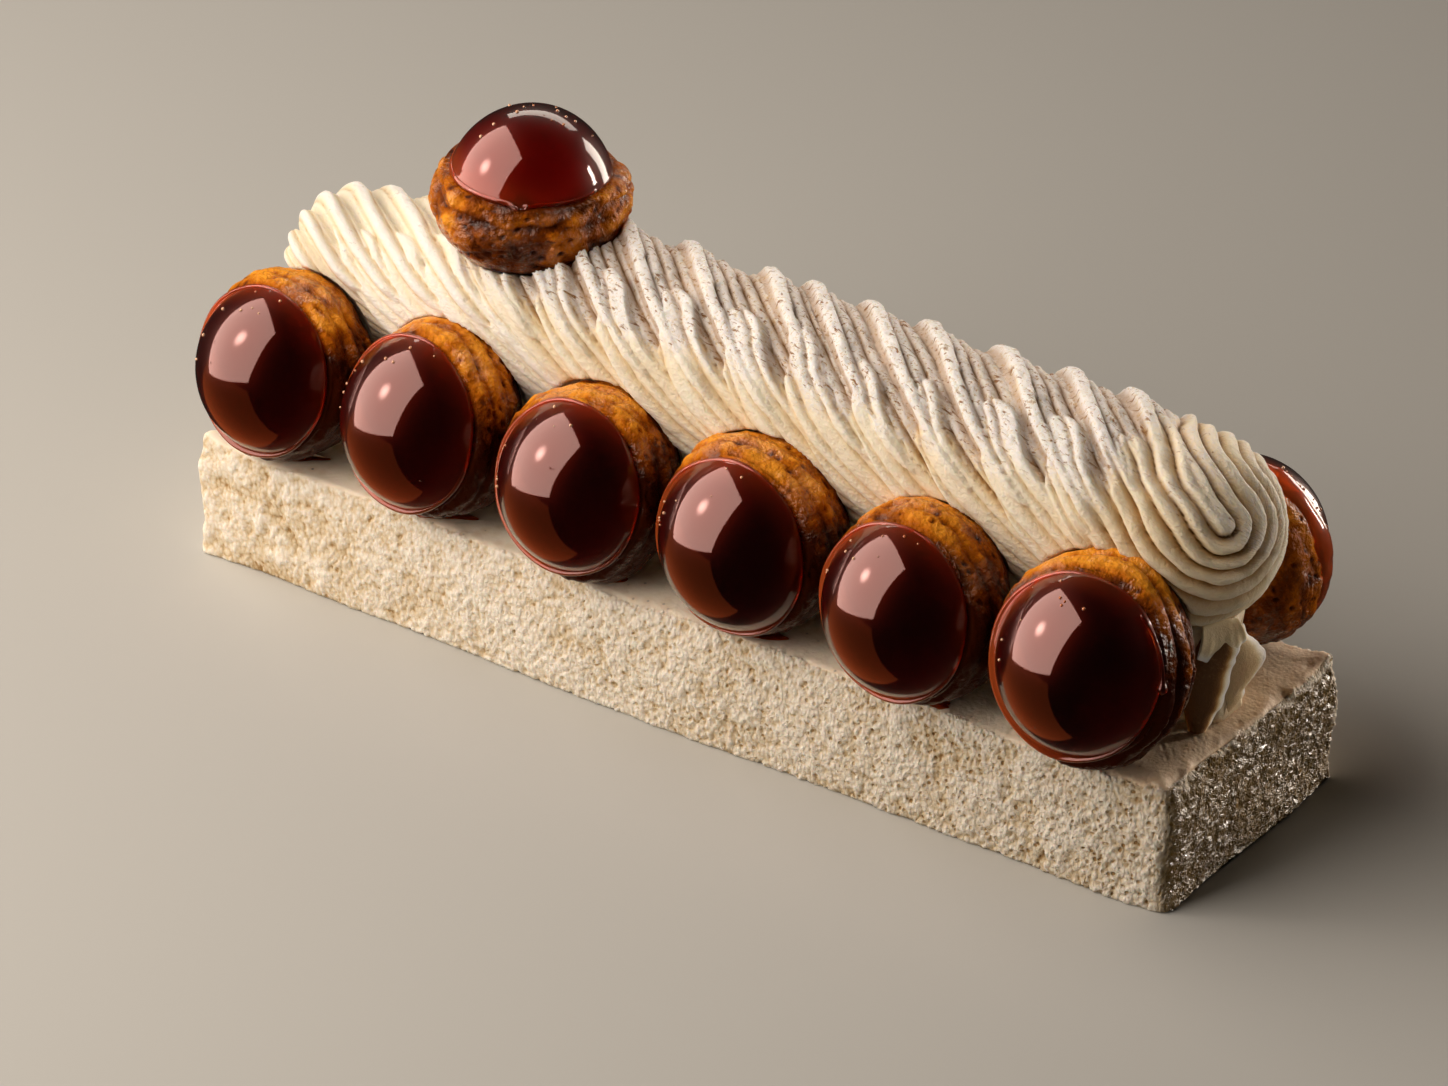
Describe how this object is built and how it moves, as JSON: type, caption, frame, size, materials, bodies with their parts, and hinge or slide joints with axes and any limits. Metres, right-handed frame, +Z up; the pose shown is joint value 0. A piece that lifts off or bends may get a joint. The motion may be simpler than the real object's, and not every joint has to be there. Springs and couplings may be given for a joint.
{
  "type": "caramel choux cake",
  "caption": "Long sponge slab with rows of caramel-domed choux buns, a piped cream rope over them and an upright bun on top.",
  "frame": {"origin": "middle of the slab's flat underside", "axes": "+X along the cake, +Z up, -Y towards the front row of buns"},
  "size_m": [0.2328, 0.0917, 0.1053],
  "materials": {
    "sponge": "porous matt sponge",
    "pastry": "baked crust with a thin glaze",
    "caramel": "clear hard caramel",
    "cream": "soft satin cream"
  },
  "bodies": {
    "root": {"sponge_slab": "sponge", "choux_front_1": "pastry", "caramel_front_1": "caramel", "choux_front_2": "pastry", "caramel_front_2": "caramel", "choux_front_3": "pastry", "caramel_front_3": "caramel", "choux_front_4": "pastry", "caramel_front_4": "caramel", "choux_front_5": "pastry", "caramel_front_5": "caramel", "choux_front_6": "pastry", "caramel_front_6": "caramel", "choux_back_1": "pastry", "caramel_back_1": "caramel", "choux_back_2": "pastry", "caramel_back_2": "caramel", "choux_back_3": "pastry", "caramel_back_3": "caramel", "choux_back_4": "pastry", "caramel_back_4": "caramel", "choux_back_5": "pastry", "caramel_back_5": "caramel", "choux_back_6": "pastry", "caramel_back_6": "caramel", "choux_top": "pastry", "caramel_top": "caramel", "cream_bed": "cream", "cream_rope": "cream"}
  },
  "joints": []
}
